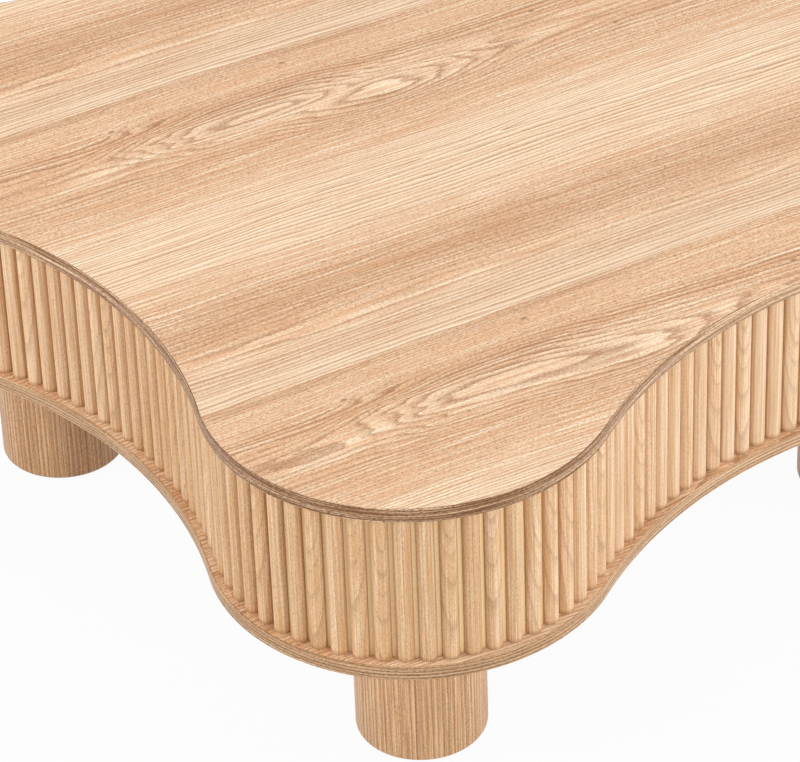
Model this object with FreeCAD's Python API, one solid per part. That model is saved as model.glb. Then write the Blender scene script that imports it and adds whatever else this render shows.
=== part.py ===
"""Low coffee table with a four-lobed, wavy outline.

Two equal boards with banded edges hold a hollow apron between them. The apron is a bent backing,
let into grooves in both boards, with half-round slats standing side by side on its outer face.
Four thick round legs are screwed up into blocks inside the lobes. Millimetres, +Z up, the origin
on the floor under the middle of the table. Front is -Y and left is -X.
"""
import FreeCAD
import Part

import math
import os

# Outline: four round lobes on a square, joined by hollow waists that run into them smoothly
lobe_spread = 487.0
lobe_radius = 156.5
waist_radius = 392.0

# Boards and their edge bands
top_thickness = 12.0
bottom_thickness = 12.0
band_thickness = 1.0

# Apron: clear height between the boards, slats and the bent backing that carries them
apron_height = 133.0
ledge = 5.2
slat_width = 13.2
slat_depth = 6.6
slat_gap = 2.2
glue_line = 0.2
backing_thickness = 6.0
groove_depth = 3.0
groove_clearance = 0.1

# Blocks behind the joints of the backing
splice_width = 36.0
splice_thickness = 14.0
splice_bite = 2.0

# Crossed rails inside the apron
rail_thickness = 18.0
lap_clearance = 0.1

# Legs, their pads and the blocks above them
leg_diameter = 103.0
leg_length = 181.0
leg_inset = 8.0
foot_round = 2.5
shoulder_round = 0.8
pad_diameter = 84.0
pad_thickness = 3.0
block_diameter = 140.0
block_height = 36.0

# Hanger bolts and the tee nuts that take them
bolt_diameter = 10.0
bolt_grip = 55.0
bolt_point = 6.0
bolt_chamfer = 1.0
bolt_clearance = 0.5
nut_flange_diameter = 26.0
nut_flange_thickness = 1.6
nut_barrel_diameter = 12.5
nut_barrel_length = 14.0

# Countersunk wood screws
screw_diameter = 4.0
screw_head_diameter = 8.0
screw_head_height = 2.4
screw_point = 4.0
block_screw_length = 38.0
block_screw_circle = 70.0
rail_screw_length = 50.0

# Dowels between the rails and the top board
dowel_diameter = 8.0
dowel_in_top = 7.0
dowel_in_rail = 24.0

# Places along half a rail, from the middle of the table to the backing
rail_screw_shares = (0.32, 0.82)
rail_dowel_shares = (0.2, 0.57, 0.9)

# One overrun for every cut
overrun = 1.0

# Counts and turns
block_screw_count = 4
quarter_turn = 90.0
half_turn = 180.0
full_turn = 360.0

# Heights of the faces, from the floor up
leg_base_z = pad_thickness
bottom_z = leg_base_z + leg_length
apron_z = bottom_z + bottom_thickness
top_z = apron_z + apron_height
overall_height = top_z + top_thickness

# Places in plan
lobe_offset = lobe_spread / 2
centre_distance = lobe_radius + waist_radius
waist_offset = lobe_offset + math.sqrt(centre_distance ** 2 - lobe_offset ** 2)
waist_half_span = math.degrees(math.asin(lobe_offset / centre_distance))
lobe_half_span = quarter_turn / 2 + waist_half_span
leg_offset = lobe_offset - leg_inset

# Insets of the layers from the outline of the boards
slat_back = ledge + slat_depth
backing_face = slat_back + glue_line
backing_back = backing_face + backing_thickness
rail_reach = waist_offset - waist_radius - backing_back

# Corners and sides of the table, in one round from the front left lobe
corner_names = ("front_left", "front_right", "back_right", "back_left")
side_names = ("front", "right", "back", "left")
first_lobe_heading = -(quarter_turn + quarter_turn / 2)
first_waist_heading = -quarter_turn


def lobe_heading(index):
    """Direction from the middle of the table to a lobe, in degrees."""
    return first_lobe_heading + index * quarter_turn


def waist_heading(index):
    """Direction from the middle of the table to a waist, in degrees."""
    return first_waist_heading + index * quarter_turn


def polar(centre, radius, heading, z=0.0):
    """Point at a distance and direction from a centre in plan."""
    turn = math.radians(heading)
    return FreeCAD.Vector(centre.x + radius * math.cos(turn), centre.y + radius * math.sin(turn), z)


def corner_point(index, offset):
    """Point on a lobe's diagonal, an equal offset along X and Y from the middle."""
    return polar(FreeCAD.Vector(), offset * math.sqrt(2), lobe_heading(index))


def waist_centre(index):
    """Centre of a waist's arc, outside the table."""
    return polar(FreeCAD.Vector(), waist_offset, waist_heading(index))


def arc_edge(centre, radius, start, end):
    """Arc about a centre from one heading to another."""
    points = [polar(centre, radius, heading) for heading in (start, (start + end) / 2, end)]
    return Part.Arc(*points).toShape()


def raise_face(wire, z, height):
    """Solid over a flat closed wire, from a height up."""
    solid = Part.Face(wire).extrude(FreeCAD.Vector(0, 0, height))
    solid.translate(FreeCAD.Vector(0, 0, z))
    return solid


def lobe_span(index):
    """First and last heading of a lobe's arc about its own centre."""
    return lobe_heading(index) - lobe_half_span, lobe_heading(index) + lobe_half_span


def waist_span(index):
    """First and last heading of a waist's arc, in the same round as the lobes."""
    inward = waist_heading(index) + half_turn
    return inward + waist_half_span, inward - waist_half_span


def clover_prism(inset, z, height):
    """Solid inside the outline, drawn in by an inset all round."""
    edges = []
    for index in range(len(corner_names)):
        edges.append(arc_edge(corner_point(index, lobe_offset), lobe_radius - inset, *lobe_span(index)))
        edges.append(arc_edge(waist_centre(index), waist_radius + inset, *waist_span(index)))
    return raise_face(Part.Wire(edges), z, height)


def clover_ring(outer_inset, inner_inset, z, height):
    """Closed strip between two insets of the outline."""
    hole = clover_prism(inner_inset, z - overrun, height + overrun + overrun)
    return clover_prism(outer_inset, z, height).cut(hole)


def sector(centre, first_radius, second_radius, span, z, height):
    """Bent panel between two radii, cut off square to its arc at both ends."""
    start, end = span
    first = arc_edge(centre, first_radius, start, end)
    second = arc_edge(centre, second_radius, start, end)
    start_side, end_side = [
        Part.makeLine(polar(centre, first_radius, heading), polar(centre, second_radius, heading))
        for heading in span
    ]
    return raise_face(Part.Wire([first, end_side, second, start_side]), z, height)


def rod(diameter, length, base):
    """Upright round bar on a base point."""
    return Part.makeCylinder(diameter / 2, length, base)


def tapered_rod(lower_diameter, upper_diameter, length, base):
    """Upright cone or frustum on a base point."""
    return Part.makeCone(lower_diameter / 2, upper_diameter / 2, length, base)


def lifted(point, z):
    """Point in plan moved to a height."""
    return FreeCAD.Vector(point.x, point.y, z)


def screw(point, length):
    """Countersunk screw driven up from the underside of the bottom board."""
    shank_length = length - screw_head_height - screw_point
    head = tapered_rod(screw_head_diameter, screw_diameter, screw_head_height, lifted(point, bottom_z))
    shank_z = bottom_z + screw_head_height
    shank = rod(screw_diameter, shank_length, lifted(point, shank_z))
    tip = tapered_rod(screw_diameter, 0, screw_point, lifted(point, shank_z + shank_length))
    return head.fuse([shank, tip]).removeSplitter()


def rail_points(shares):
    """Places along both rails, on each side of the middle."""
    spots = []
    for index in range(len(side_names)):
        for share in shares:
            spots.append(polar(FreeCAD.Vector(), rail_reach * share, waist_heading(index)))
    return spots


def leg_point(index):
    """Axis of a leg in plan."""
    return corner_point(index, leg_offset)


def block_screw_points(index):
    """Ring of screw places over a leg, hidden by its end."""
    step = full_turn / block_screw_count
    return [
        polar(leg_point(index), block_screw_circle / 2, lobe_heading(index) + turn * step)
        for turn in range(block_screw_count)
    ]


def all_block_screws():
    """Screws that hold the blocks over the legs."""
    spots = [spot for index in range(len(corner_names)) for spot in block_screw_points(index)]
    return [screw(spot, block_screw_length) for spot in spots]


def all_rail_screws():
    """Screws that hold the rails on the bottom board."""
    return [screw(spot, rail_screw_length) for spot in rail_points(rail_screw_shares)]


def all_dowels():
    """Dowels that stand in the rails and reach up into the top board."""
    length = dowel_in_rail + dowel_in_top
    return [rod(dowel_diameter, length, lifted(spot, top_z - dowel_in_rail))
            for spot in rail_points(rail_dowel_shares)]


def groove_at(z):
    """Closed groove that takes the edges of the backing."""
    return clover_ring(backing_face - groove_clearance, backing_back + groove_clearance, z, groove_depth)


def top_board():
    """Flat top inside its edge band, grooved and drilled underneath."""
    board = clover_prism(band_thickness, top_z, top_thickness)
    return board.cut([groove_at(top_z)] + all_dowels())


def bottom_board():
    """Board under the apron, grooved above and drilled for bolts and screws."""
    board = clover_prism(band_thickness, bottom_z, bottom_thickness)
    cuts = [groove_at(apron_z - groove_depth)] + all_block_screws() + all_rail_screws()
    for index in range(len(corner_names)):
        base = lifted(leg_point(index), bottom_z - overrun)
        cuts.append(rod(bolt_diameter + bolt_clearance, bottom_thickness + overrun + overrun, base))
    return board.cut(cuts)


def backing_panel(centre, radius, outward, span):
    """Bent panel that stands in the grooves of both boards."""
    face_radius = radius - outward * backing_face
    back_radius = radius - outward * backing_back
    height = apron_height + groove_depth + groove_depth
    return sector(centre, face_radius, back_radius, span, apron_z - groove_depth, height)


def slat(centre, base_radius, outward, heading):
    """Half-round strip whose back follows the backing, a glue line away."""
    half = math.degrees(math.asin(slat_width / 2 / base_radius))
    first = polar(centre, base_radius, heading - half)
    last = polar(centre, base_radius, heading + half)
    crown = Part.Arc(first, polar(centre, base_radius + outward * slat_depth, heading), last)
    back = Part.Arc(last, polar(centre, base_radius, heading), first)
    return raise_face(Part.Wire([crown.toShape(), back.toShape()]), apron_z, apron_height)


def slat_row(centre, radius, outward, span):
    """Even row of slats over one panel, with a gap at the middle and at both ends."""
    start, end = span
    base_radius = radius - outward * slat_back
    length = base_radius * math.radians(abs(end - start))
    pairs = math.floor(length / (slat_width + slat_gap) / 2)
    count = pairs + pairs
    step = (end - start) / count
    slats = [slat(centre, base_radius, outward, start + step * (place + 0.5)) for place in range(count)]
    return Part.makeCompound(slats)


def inner_room():
    """Hollow inside the backing, from board to board."""
    return clover_prism(backing_back, apron_z, apron_height)


def splice_blocks():
    """Blocks glued inside, across every joint between a lobe's and a waist's panel."""
    room = inner_room()
    blocks = []
    for index in range(len(corner_names)):
        for heading in lobe_span(index):
            size = (splice_thickness + splice_bite, splice_width, apron_height)
            block = Part.makeBox(*size)
            inner = lobe_radius - backing_back - splice_thickness
            block.translate(FreeCAD.Vector(inner, -splice_width / 2, apron_z))
            block.rotate(FreeCAD.Vector(), FreeCAD.Vector(0, 0, 1), heading)
            block.translate(corner_point(index, lobe_offset))
            blocks.append(block.common(room))
    return Part.makeCompound(blocks)


def rail(along_y):
    """Upright rail across the table, half lapped over the other one in the middle."""
    length = rail_reach + rail_reach + overrun + overrun
    bar = Part.makeBox(length, rail_thickness, apron_height)
    bar.translate(FreeCAD.Vector(-length / 2, -rail_thickness / 2, apron_z))
    slot_width = rail_thickness + lap_clearance + lap_clearance
    notch = Part.makeBox(slot_width, rail_thickness + overrun + overrun, apron_height / 2 + overrun)
    notch_z = apron_z - overrun if along_y else apron_z + apron_height / 2
    notch.translate(FreeCAD.Vector(-slot_width / 2, -rail_thickness / 2 - overrun, notch_z))
    bar = bar.cut(notch)
    if along_y:
        bar.rotate(FreeCAD.Vector(), FreeCAD.Vector(0, 0, 1), quarter_turn)
    return bar.common(inner_room()).cut(all_rail_screws() + all_dowels())


def round_edges(solid, z, radius):
    """Solid with its edges at one height rounded over."""
    edges = [edge for edge in solid.Edges if abs(edge.CenterOfMass.z - z) < radius / 2]
    return solid.makeFillet(radius, edges)


def leg(index):
    """Round leg with eased ends, bored from above for its bolt."""
    body = rod(leg_diameter, leg_length, lifted(leg_point(index), leg_base_z))
    body = round_edges(body, leg_base_z, foot_round)
    body = round_edges(body, bottom_z, shoulder_round)
    return body.cut(bolt(index))


def foot_pad(index):
    """Felt disc under a leg."""
    return rod(pad_diameter, pad_thickness, lifted(leg_point(index), 0))


def bolt(index):
    """Bolt with a wood-screw end in the leg and a plain end up in the tee nut."""
    start_z = bottom_z - bolt_grip
    end_z = apron_z + block_height
    point = tapered_rod(0, bolt_diameter, bolt_point, lifted(leg_point(index), start_z))
    shank_z = start_z + bolt_point
    shank = rod(bolt_diameter, end_z - bolt_chamfer - shank_z, lifted(leg_point(index), shank_z))
    nose_diameter = bolt_diameter - bolt_chamfer - bolt_chamfer
    nose = tapered_rod(bolt_diameter, nose_diameter, bolt_chamfer,
                       lifted(leg_point(index), end_z - bolt_chamfer))
    return point.fuse([shank, nose]).removeSplitter()


def tee_nut(index):
    """Flanged nut let into the top of a block."""
    block_top = apron_z + block_height
    flange = rod(nut_flange_diameter, nut_flange_thickness, lifted(leg_point(index), block_top))
    barrel = rod(nut_barrel_diameter, nut_barrel_length,
                 lifted(leg_point(index), block_top - nut_barrel_length))
    bore_length = nut_barrel_length + nut_flange_thickness + overrun + overrun
    bore_z = block_top - nut_barrel_length - overrun
    bore = rod(bolt_diameter, bore_length, lifted(leg_point(index), bore_z))
    return flange.fuse(barrel).removeSplitter().cut(bore)


def leg_block(index):
    """Round block on the bottom board that takes a leg's bolt and nut."""
    point = leg_point(index)
    block = rod(block_diameter, block_height, lifted(point, apron_z))
    bore = rod(bolt_diameter + bolt_clearance, block_height + overrun + overrun,
               lifted(point, apron_z - overrun))
    seat = rod(nut_barrel_diameter, nut_barrel_length + overrun,
               lifted(point, apron_z + block_height - nut_barrel_length))
    screws = [screw(spot, block_screw_length) for spot in block_screw_points(index)]
    return block.cut([bore, seat] + screws)


def apron_nodes():
    """Backing panels and rows of slats, a lobe and the waist after it in turn."""
    nodes = {}
    for index, (corner, side) in enumerate(zip(corner_names, side_names)):
        lobe = (corner_point(index, lobe_offset), lobe_radius, 1, lobe_span(index))
        waist = (waist_centre(index), waist_radius, -1, waist_span(index))
        nodes["backing_lobe_" + corner] = backing_panel(*lobe)
        nodes["backing_waist_" + side] = backing_panel(*waist)
        nodes["slats_lobe_" + corner] = slat_row(*lobe)
        nodes["slats_waist_" + side] = slat_row(*waist)
    return nodes


def leg_nodes():
    """Legs, pads and blocks at the four corners."""
    nodes = {}
    for index, corner in enumerate(corner_names):
        nodes["leg_" + corner] = leg(index)
        nodes["foot_pad_" + corner] = foot_pad(index)
        nodes["leg_block_" + corner] = leg_block(index)
    return nodes


def all_nodes():
    """Every piece of the table under its name."""
    corners = range(len(corner_names))
    nodes = {
        "top_board": top_board(),
        "top_edge_band": clover_ring(0, band_thickness, top_z, top_thickness),
        "bottom_board": bottom_board(),
        "bottom_edge_band": clover_ring(0, band_thickness, bottom_z, bottom_thickness),
        "splice_blocks": splice_blocks(),
        "rail_side_to_side": rail(False),
        "rail_front_to_back": rail(True),
        "hanger_bolts": Part.makeCompound([bolt(index) for index in corners]),
        "tee_nuts": Part.makeCompound([tee_nut(index) for index in corners]),
        "block_screws": Part.makeCompound(all_block_screws()),
        "rail_screws": Part.makeCompound(all_rail_screws()),
        "top_dowels": Part.makeCompound(all_dowels()),
    }
    nodes.update(apron_nodes())
    nodes.update(leg_nodes())
    return nodes


def main():
    """Write one file for each node."""
    os.makedirs("parts", exist_ok=True)
    for name, shape in all_nodes().items():
        shape.exportStep("parts/" + name + ".step")
    print("overall height", overall_height)


main()
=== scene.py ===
import logging
import math
from dataclasses import dataclass
from enum import Enum

import bpy
import numpy as np
from mathutils import Matrix, Vector


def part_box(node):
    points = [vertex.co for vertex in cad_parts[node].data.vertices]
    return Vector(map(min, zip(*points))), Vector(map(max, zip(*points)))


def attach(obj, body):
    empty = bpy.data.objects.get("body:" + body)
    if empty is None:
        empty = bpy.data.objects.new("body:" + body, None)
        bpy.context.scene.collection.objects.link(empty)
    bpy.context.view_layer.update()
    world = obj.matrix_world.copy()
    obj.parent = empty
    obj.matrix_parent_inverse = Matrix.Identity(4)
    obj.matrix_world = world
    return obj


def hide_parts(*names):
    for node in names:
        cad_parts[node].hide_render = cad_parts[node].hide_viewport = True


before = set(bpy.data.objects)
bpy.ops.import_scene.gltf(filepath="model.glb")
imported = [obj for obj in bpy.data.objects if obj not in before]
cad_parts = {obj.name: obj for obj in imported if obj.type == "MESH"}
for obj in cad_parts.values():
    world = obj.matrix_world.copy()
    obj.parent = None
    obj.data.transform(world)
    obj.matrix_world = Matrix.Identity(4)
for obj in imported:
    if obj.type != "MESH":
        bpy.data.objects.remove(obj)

log = logging.getLogger("coffee_table")

Socket = bpy.types.NodeSocket
Feed = Socket | float | tuple
Colour = tuple[float, float, float]
Waves = tuple[float, float, float]
Span = tuple[float, float]
Stops = tuple[Span, ...]

WHITE: Colour = (1.0, 1.0, 1.0)


class Corner(Enum):
    """Lobes of the table, named as the nodes are, in one round from the front left."""

    FRONT_LEFT = "front_left"
    FRONT_RIGHT = "front_right"
    BACK_RIGHT = "back_right"
    BACK_LEFT = "back_left"


class Side(Enum):
    """Waists of the table, each one following the lobe of the same place in the round."""

    FRONT = "front"
    RIGHT = "right"
    BACK = "back"
    LEFT = "left"


class Bulge(Enum):
    """Whether a stretch of the outline swells outwards or is drawn in."""

    LOBE = 1.0
    WAIST = -1.0


@dataclass(frozen=True)
class Arc:
    """One stretch of the outline.

    Attributes:
        centre: Centre of the arc in plan.
        radius: Radius of the boards' edge along it.
        start: First heading about the centre, in radians.
        end: Last heading about the centre, in radians.
        bulge: Whether the stretch is a lobe or a waist.
    """

    centre: np.ndarray
    radius: float
    start: float
    end: float
    bulge: Bulge

    def rim(self, inset: np.ndarray | float) -> np.ndarray | float:
        """Radius of the arc drawn in by an inset."""
        return self.radius - self.bulge.value * inset

    def headings(self, share: np.ndarray) -> np.ndarray:
        """Headings at shares of the way along the arc."""
        return self.start + (self.end - self.start) * share

    def places(self, inset: np.ndarray, heading: np.ndarray) -> np.ndarray:
        """Points at an inset from the boards' edge.

        Args:
            inset: Distances inside the edge.
            heading: Headings about the centre, which broadcast with the insets.

        Returns:
            Plan points, with X and Y on the last axis: centre plus rim times (cos, sin) of the heading.
        """
        rim = self.rim(inset)
        return self.centre + np.stack([rim * np.cos(heading), rim * np.sin(heading)], axis=-1)


@dataclass(frozen=True)
class Outline:
    """Wavy outline of both boards: four lobes on a square, joined smoothly by waists.

    Attributes:
        half_width: From the middle of the table to the outermost edge of a lobe.
        lobe_offset: From the middle to a lobe's centre, along X and along Y.
        waist_radius: Radius of the waists, which are drawn in.
        steps: Points along each arc.
    """

    half_width: float
    lobe_offset: float = 0.2435
    waist_radius: float = 0.392
    steps: int = 56

    @property
    def lobe_radius(self) -> float:
        """Radius of the lobes."""
        return self.half_width - self.lobe_offset

    def lobe(self, place: int) -> Arc:
        """Arc of a lobe, a quarter turn after the one before."""
        heading = math.radians(-135 + 90 * place)
        spread = self.lobe_offset * math.sqrt(2)
        centre = spread * np.array([math.cos(heading), math.sin(heading)])
        half = math.radians(45) + self.waist_half_span
        return Arc(centre, self.lobe_radius, heading - half, heading + half, Bulge.LOBE)

    def waist(self, place: int) -> Arc:
        """Arc of a waist, a quarter turn after the one before."""
        heading = math.radians(-90 + 90 * place)
        reach = self.lobe_radius + self.waist_radius
        offset = self.lobe_offset + math.sqrt(reach ** 2 - self.lobe_offset ** 2)
        centre = offset * np.array([math.cos(heading), math.sin(heading)])
        inward = heading + math.pi
        half = self.waist_half_span
        return Arc(centre, self.waist_radius, inward + half, inward - half, Bulge.WAIST)

    @property
    def waist_half_span(self) -> float:
        """Half of the turn of a waist, in radians."""
        return math.asin(self.lobe_offset / (self.lobe_radius + self.waist_radius))

    def trace(self, inset: np.ndarray) -> np.ndarray:
        """Closed rounds of the outline, one for each inset.

        Each lobe and the waist after it are sampled at even turns and put end to end.

        Args:
            inset: Distances inside the edge, one for each round.

        Returns:
            Plan points of shape (insets, points, 2).
        """
        share = np.arange(self.steps) / self.steps
        pairs = [(self.lobe(place), self.waist(place)) for place in range(len(Corner))]
        arcs = [arc for pair in pairs for arc in pair]
        rounds = [arc.places(inset[:, None], arc.headings(share)[None]) for arc in arcs]
        return np.concatenate(rounds, axis=1)


def closed_round(points: np.ndarray) -> np.ndarray:
    """Points of a round with the first one again at its end."""
    return np.concatenate([points, points[:1]])


def lengths_along(points: np.ndarray) -> np.ndarray:
    """Distance along a line of points, from its first point to each of them."""
    steps = np.linalg.norm(np.diff(points, axis=0), axis=1)
    return np.concatenate([[0.0], np.cumsum(steps)])


class Surface:
    """Faces of one piece, gathered as whole arrays and written to a mesh in one go."""

    def __init__(self) -> None:
        """Start with no faces."""
        self.points: list[np.ndarray] = []
        self.tones: list[np.ndarray] = []
        self.painted_shades: list[np.ndarray] = []
        self.faces: list[np.ndarray] = []
        self.grain: list[np.ndarray] = []
        self.count = 0

    def add_grid(
        self,
        points: np.ndarray,
        grain: np.ndarray,
        wrap_rows: bool = False,
        wrap_columns: bool = False,
        tone: np.ndarray | float = 0.5,
        painted_shade: np.ndarray | float = 0.0,
    ) -> np.ndarray:
        """Add a batch of grids of four-sided faces.

        Args:
            points: Points of shape (grids, rows, columns, 3).
            grain: Place along and across the grain for each point, (grids, rows, columns, 2), with
                one more row or column where the grid closes on itself.
            wrap_rows: Whether the last row joins the first.
            wrap_columns: Whether the last column joins the first.
            tone: Tone of the wood from 0 to 1, which for the bands, slats and legs also holds painted
                light and shade, and which broadcasts with the points.
            painted_shade: Painted shade, darkening the wood where it lies in shade between the slats
                and at their feet, in the same way.

        Returns:
            Index of every point, of shape (grids, rows, columns).
        """
        index = self.count + np.arange(points[..., 0].size).reshape(points.shape[:-1])
        self.count += index.size
        self.points.append(points.reshape(-1, 3))
        self.tones.append(np.broadcast_to(tone, index.shape).ravel())
        self.painted_shades.append(np.broadcast_to(painted_shade, index.shape).ravel())
        corner = np.concatenate([index, index[:, :1]], axis=1) if wrap_rows else index
        corner = np.concatenate([corner, corner[:, :, :1]], axis=2) if wrap_columns else corner
        self.add_faces(self.quads(corner[..., None])[..., 0], self.quads(grain))
        return index

    @staticmethod
    def quads(grid: np.ndarray) -> np.ndarray:
        """Values at the four corners of each cell of a batch of grids, as (cells, 4, values)."""
        around = [grid[:, :-1, :-1], grid[:, :-1, 1:], grid[:, 1:, 1:], grid[:, 1:, :-1]]
        return np.stack(around, axis=3).reshape(-1, 4, grid.shape[-1])

    def add_faces(self, corners: np.ndarray, grain: np.ndarray) -> None:
        """Add faces with the same number of corners, given as point indexes and grain places."""
        self.faces.append(corners)
        self.grain.append(grain)

    def outward(self, points: np.ndarray) -> bool:
        """Whether the faces point out, told by the sign of the volume that they close in."""
        volume = 0.0
        for corners in self.faces:
            first = points[corners[:, :1]]
            second = points[corners[:, 1:-1]]
            third = points[corners[:, 2:]]
            volume += float(np.sum(first * np.cross(second, third)))
        return volume > 0

    def build(self, name: str, sharp: float = 40.0) -> bpy.types.Object:
        """Write the faces to a new object at the origin.

        Args:
            name: Name of the piece.
            sharp: Angle past which an edge stays crisp, in degrees.

        Returns:
            The new object, linked to the scene.
        """
        points = np.concatenate(self.points)
        turn = 1 if self.outward(points) else -1
        faces = [face for corners in self.faces for face in corners[:, ::turn].tolist()]
        mesh = bpy.data.meshes.new(name)
        mesh.from_pydata(points.tolist(), [], faces)
        grain = np.concatenate([corners[:, ::turn].reshape(-1, 2) for corners in self.grain])
        mesh.uv_layers.new(name="grain").uv.foreach_set("vector", grain.astype(np.float32).ravel())
        # Each point keeps its tone and its painted shade, which darkens a slat where it lies in shade.
        for key, values in (("tone", self.tones), ("painted_shade", self.painted_shades)):
            attribute = mesh.attributes.new(key, "FLOAT", "POINT")
            attribute.data.foreach_set("value", np.concatenate(values).astype(np.float32))
        mesh.shade_smooth()
        mesh.set_sharp_from_angle(angle=math.radians(sharp))
        piece = bpy.data.objects.new(name, mesh)
        bpy.context.scene.collection.objects.link(piece)
        log.info("%s: %d points, %d faces", name, len(points), len(faces))
        return piece


def seat(piece: bpy.types.Object, slot: str, material: bpy.types.Material, *nodes: str) -> None:
    """Let a new piece stand for its nodes.

    Args:
        piece: The new piece.
        slot: Material slot of the record; not used.
        material: Finish of the piece.
        nodes: Nodes that it stands for.
    """
    piece.data.materials.append(material)
    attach(piece, "root")
    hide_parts(*nodes)


def dress_node(name: str, material: bpy.types.Material) -> None:
    """Give a node that stays as it is its finish."""
    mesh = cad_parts[name].data
    mesh.materials.clear()
    mesh.materials.append(material)
    log.info("%s dressed with %s", name, material.name)


def revolve(radius: np.ndarray, height: np.ndarray, centre: Vector, steps: int) -> np.ndarray:
    """Turn a profile about an upright axis.

    Each point is the centre plus the radius of its row times (cos, sin) of its column's turn, at the
    height of its row.

    Args:
        radius: Radius of each row.
        height: Height of each row.
        centre: Point of the axis in plan.
        steps: Columns round the axis.

    Returns:
        Points of shape (1, rows, steps, 3).
    """
    turn = np.linspace(0, 2 * math.pi, steps, endpoint=False)
    x = centre.x + radius[:, None] * np.cos(turn)
    y = centre.y + radius[:, None] * np.sin(turn)
    z = np.broadcast_to(height[:, None], x.shape)
    return np.stack([x, y, z], axis=-1)[None]


def eased_corner(
    centre: tuple[float, float],
    radius: float,
    start: float,
    steps: int,
) -> np.ndarray:
    """Quarter round of a profile, from a heading a quarter turn on.

    Args:
        centre: Centre of the round in the profile's plane.
        radius: Radius of the round.
        start: First heading, in radians.
        steps: Points of the round.

    Returns:
        Points of shape (steps, 2).
    """
    turn = start + np.linspace(0, math.pi / 2, steps)
    return np.asarray(centre) + radius * np.stack([np.cos(turn), np.sin(turn)], axis=-1)


class Graph:
    """Writer for the nodes of one material or node group.

    Attributes:
        tree: The node tree.
        noise_lean: How the slice on which noise is read leans.
        noise_rough: How rough the noise is.
    """

    noise_lean: tuple[float, float, float] = (0.0, 0.8, 1.0)
    noise_rough: float = 0.55

    def __init__(self, tree: bpy.types.NodeTree) -> None:
        """Write into a node tree."""
        self.tree = tree

    def feed(self, socket: Socket, value: Feed) -> None:
        """Link a socket to another one, or set its value."""
        if isinstance(value, Socket):
            self.tree.links.new(value, socket)
        elif socket.type == "RGBA" and len(value) == 3:
            socket.default_value = (*value, 1.0)
        else:
            socket.default_value = value

    def add(
        self,
        kind: str,
        inputs: dict[str | int, Feed] | None = None,
        **settings: object,
    ) -> bpy.types.Node:
        """Add a node.

        Args:
            kind: Type of the node.
            inputs: Values or links by the name or the place of the socket.
            settings: Properties of the node.

        Returns:
            The new node.
        """
        node = self.tree.nodes.new(kind)
        for key, value in settings.items():
            setattr(node, key, value)
        for key, value in (inputs or {}).items():
            self.feed(node.inputs[key], value)
        return node

    def calc(self, operation: str, *values: Feed) -> Socket:
        """Result of a math node."""
        inputs = dict(enumerate(values))
        return self.add("ShaderNodeMath", inputs, operation=operation).outputs[0]

    def about(self, value: Feed, reach: float) -> Socket:
        """Value from 0 to 1 spread over a reach that has 0 as its middle."""
        return self.calc("MULTIPLY_ADD", value, reach, -reach / 2)

    def vector(self, operation: str, *values: Feed) -> Socket:
        """Result of a vector math node."""
        inputs = dict(enumerate(values))
        return self.add("ShaderNodeVectorMath", inputs, operation=operation).outputs[0]

    def measure(self, operation: str, *values: Feed) -> Socket:
        """Result of a vector math node that gives a single value."""
        inputs = dict(enumerate(values))
        return self.add("ShaderNodeVectorMath", inputs, operation=operation).outputs["Value"]

    def join(self, x: Feed, y: Feed, z: Feed = 0.0) -> Socket:
        """Vector of three values."""
        return self.add("ShaderNodeCombineXYZ", {0: x, 1: y, 2: z}).outputs[0]

    def split(self, place: Feed) -> tuple[Socket, Socket, Socket]:
        """The three values of a vector."""
        node = self.add("ShaderNodeSeparateXYZ", {0: place})
        return node.outputs[0], node.outputs[1], node.outputs[2]

    def noise(self, place: Feed, waves: Waves, detail: float = 2.0) -> Socket:
        """Smooth noise from 0 to 1 with a number of waves in a metre along each axis.

        It is read on a leaning slice, so that its cells don't line up along the axes.
        """
        scaled = self.vector("MULTIPLY", place, waves)
        lean = self.measure("DOT_PRODUCT", scaled, self.noise_lean)
        x, y, _ = self.split(scaled)
        inputs = {"Vector": self.join(x, y, lean), "Scale": 1.0, "Detail": detail}
        return self.add("ShaderNodeTexNoise", {**inputs, "Roughness": self.noise_rough}).outputs[0]

    def span(
        self,
        value: Feed,
        low: Feed,
        high: Feed,
        first: Feed = 0.0,
        last: Feed = 1.0,
    ) -> Socket:
        """Value eased from one range to another and held at its ends."""
        inputs = {0: value, 1: low, 2: high, 3: first, 4: last}
        return self.add("ShaderNodeMapRange", inputs, interpolation_type="SMOOTHSTEP").outputs[0]

    def ramp(self, value: Feed, stops: Stops) -> Socket:
        """Value read from a line through (place, height) stops."""
        node = self.add("ShaderNodeValToRGB", {0: value})
        line = node.color_ramp
        for place, height in stops[1:-1]:
            line.elements.new(place).color = (height, height, height, 1.0)
        for end in (0, -1):
            place, height = stops[end]
            element = line.elements[end]
            element.position = place
            element.color = (height, height, height, 1.0)
        return node.outputs[0]

    def mix(self, share: Feed, first: Feed, second: Feed) -> Socket:
        """Colour between two colours."""
        inputs = {0: share, 6: first, 7: second}
        return self.add("ShaderNodeMix", inputs, data_type="RGBA").outputs[2]

    def group(self, group: bpy.types.NodeTree, **inputs: Feed) -> bpy.types.Node:
        """Place a node group, with its inputs by name, where an underscore stands for a space."""
        node = self.add("ShaderNodeGroup", node_tree=group)
        for key, value in inputs.items():
            self.feed(node.inputs[key.replace("_", " ").capitalize()], value)
        return node


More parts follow.
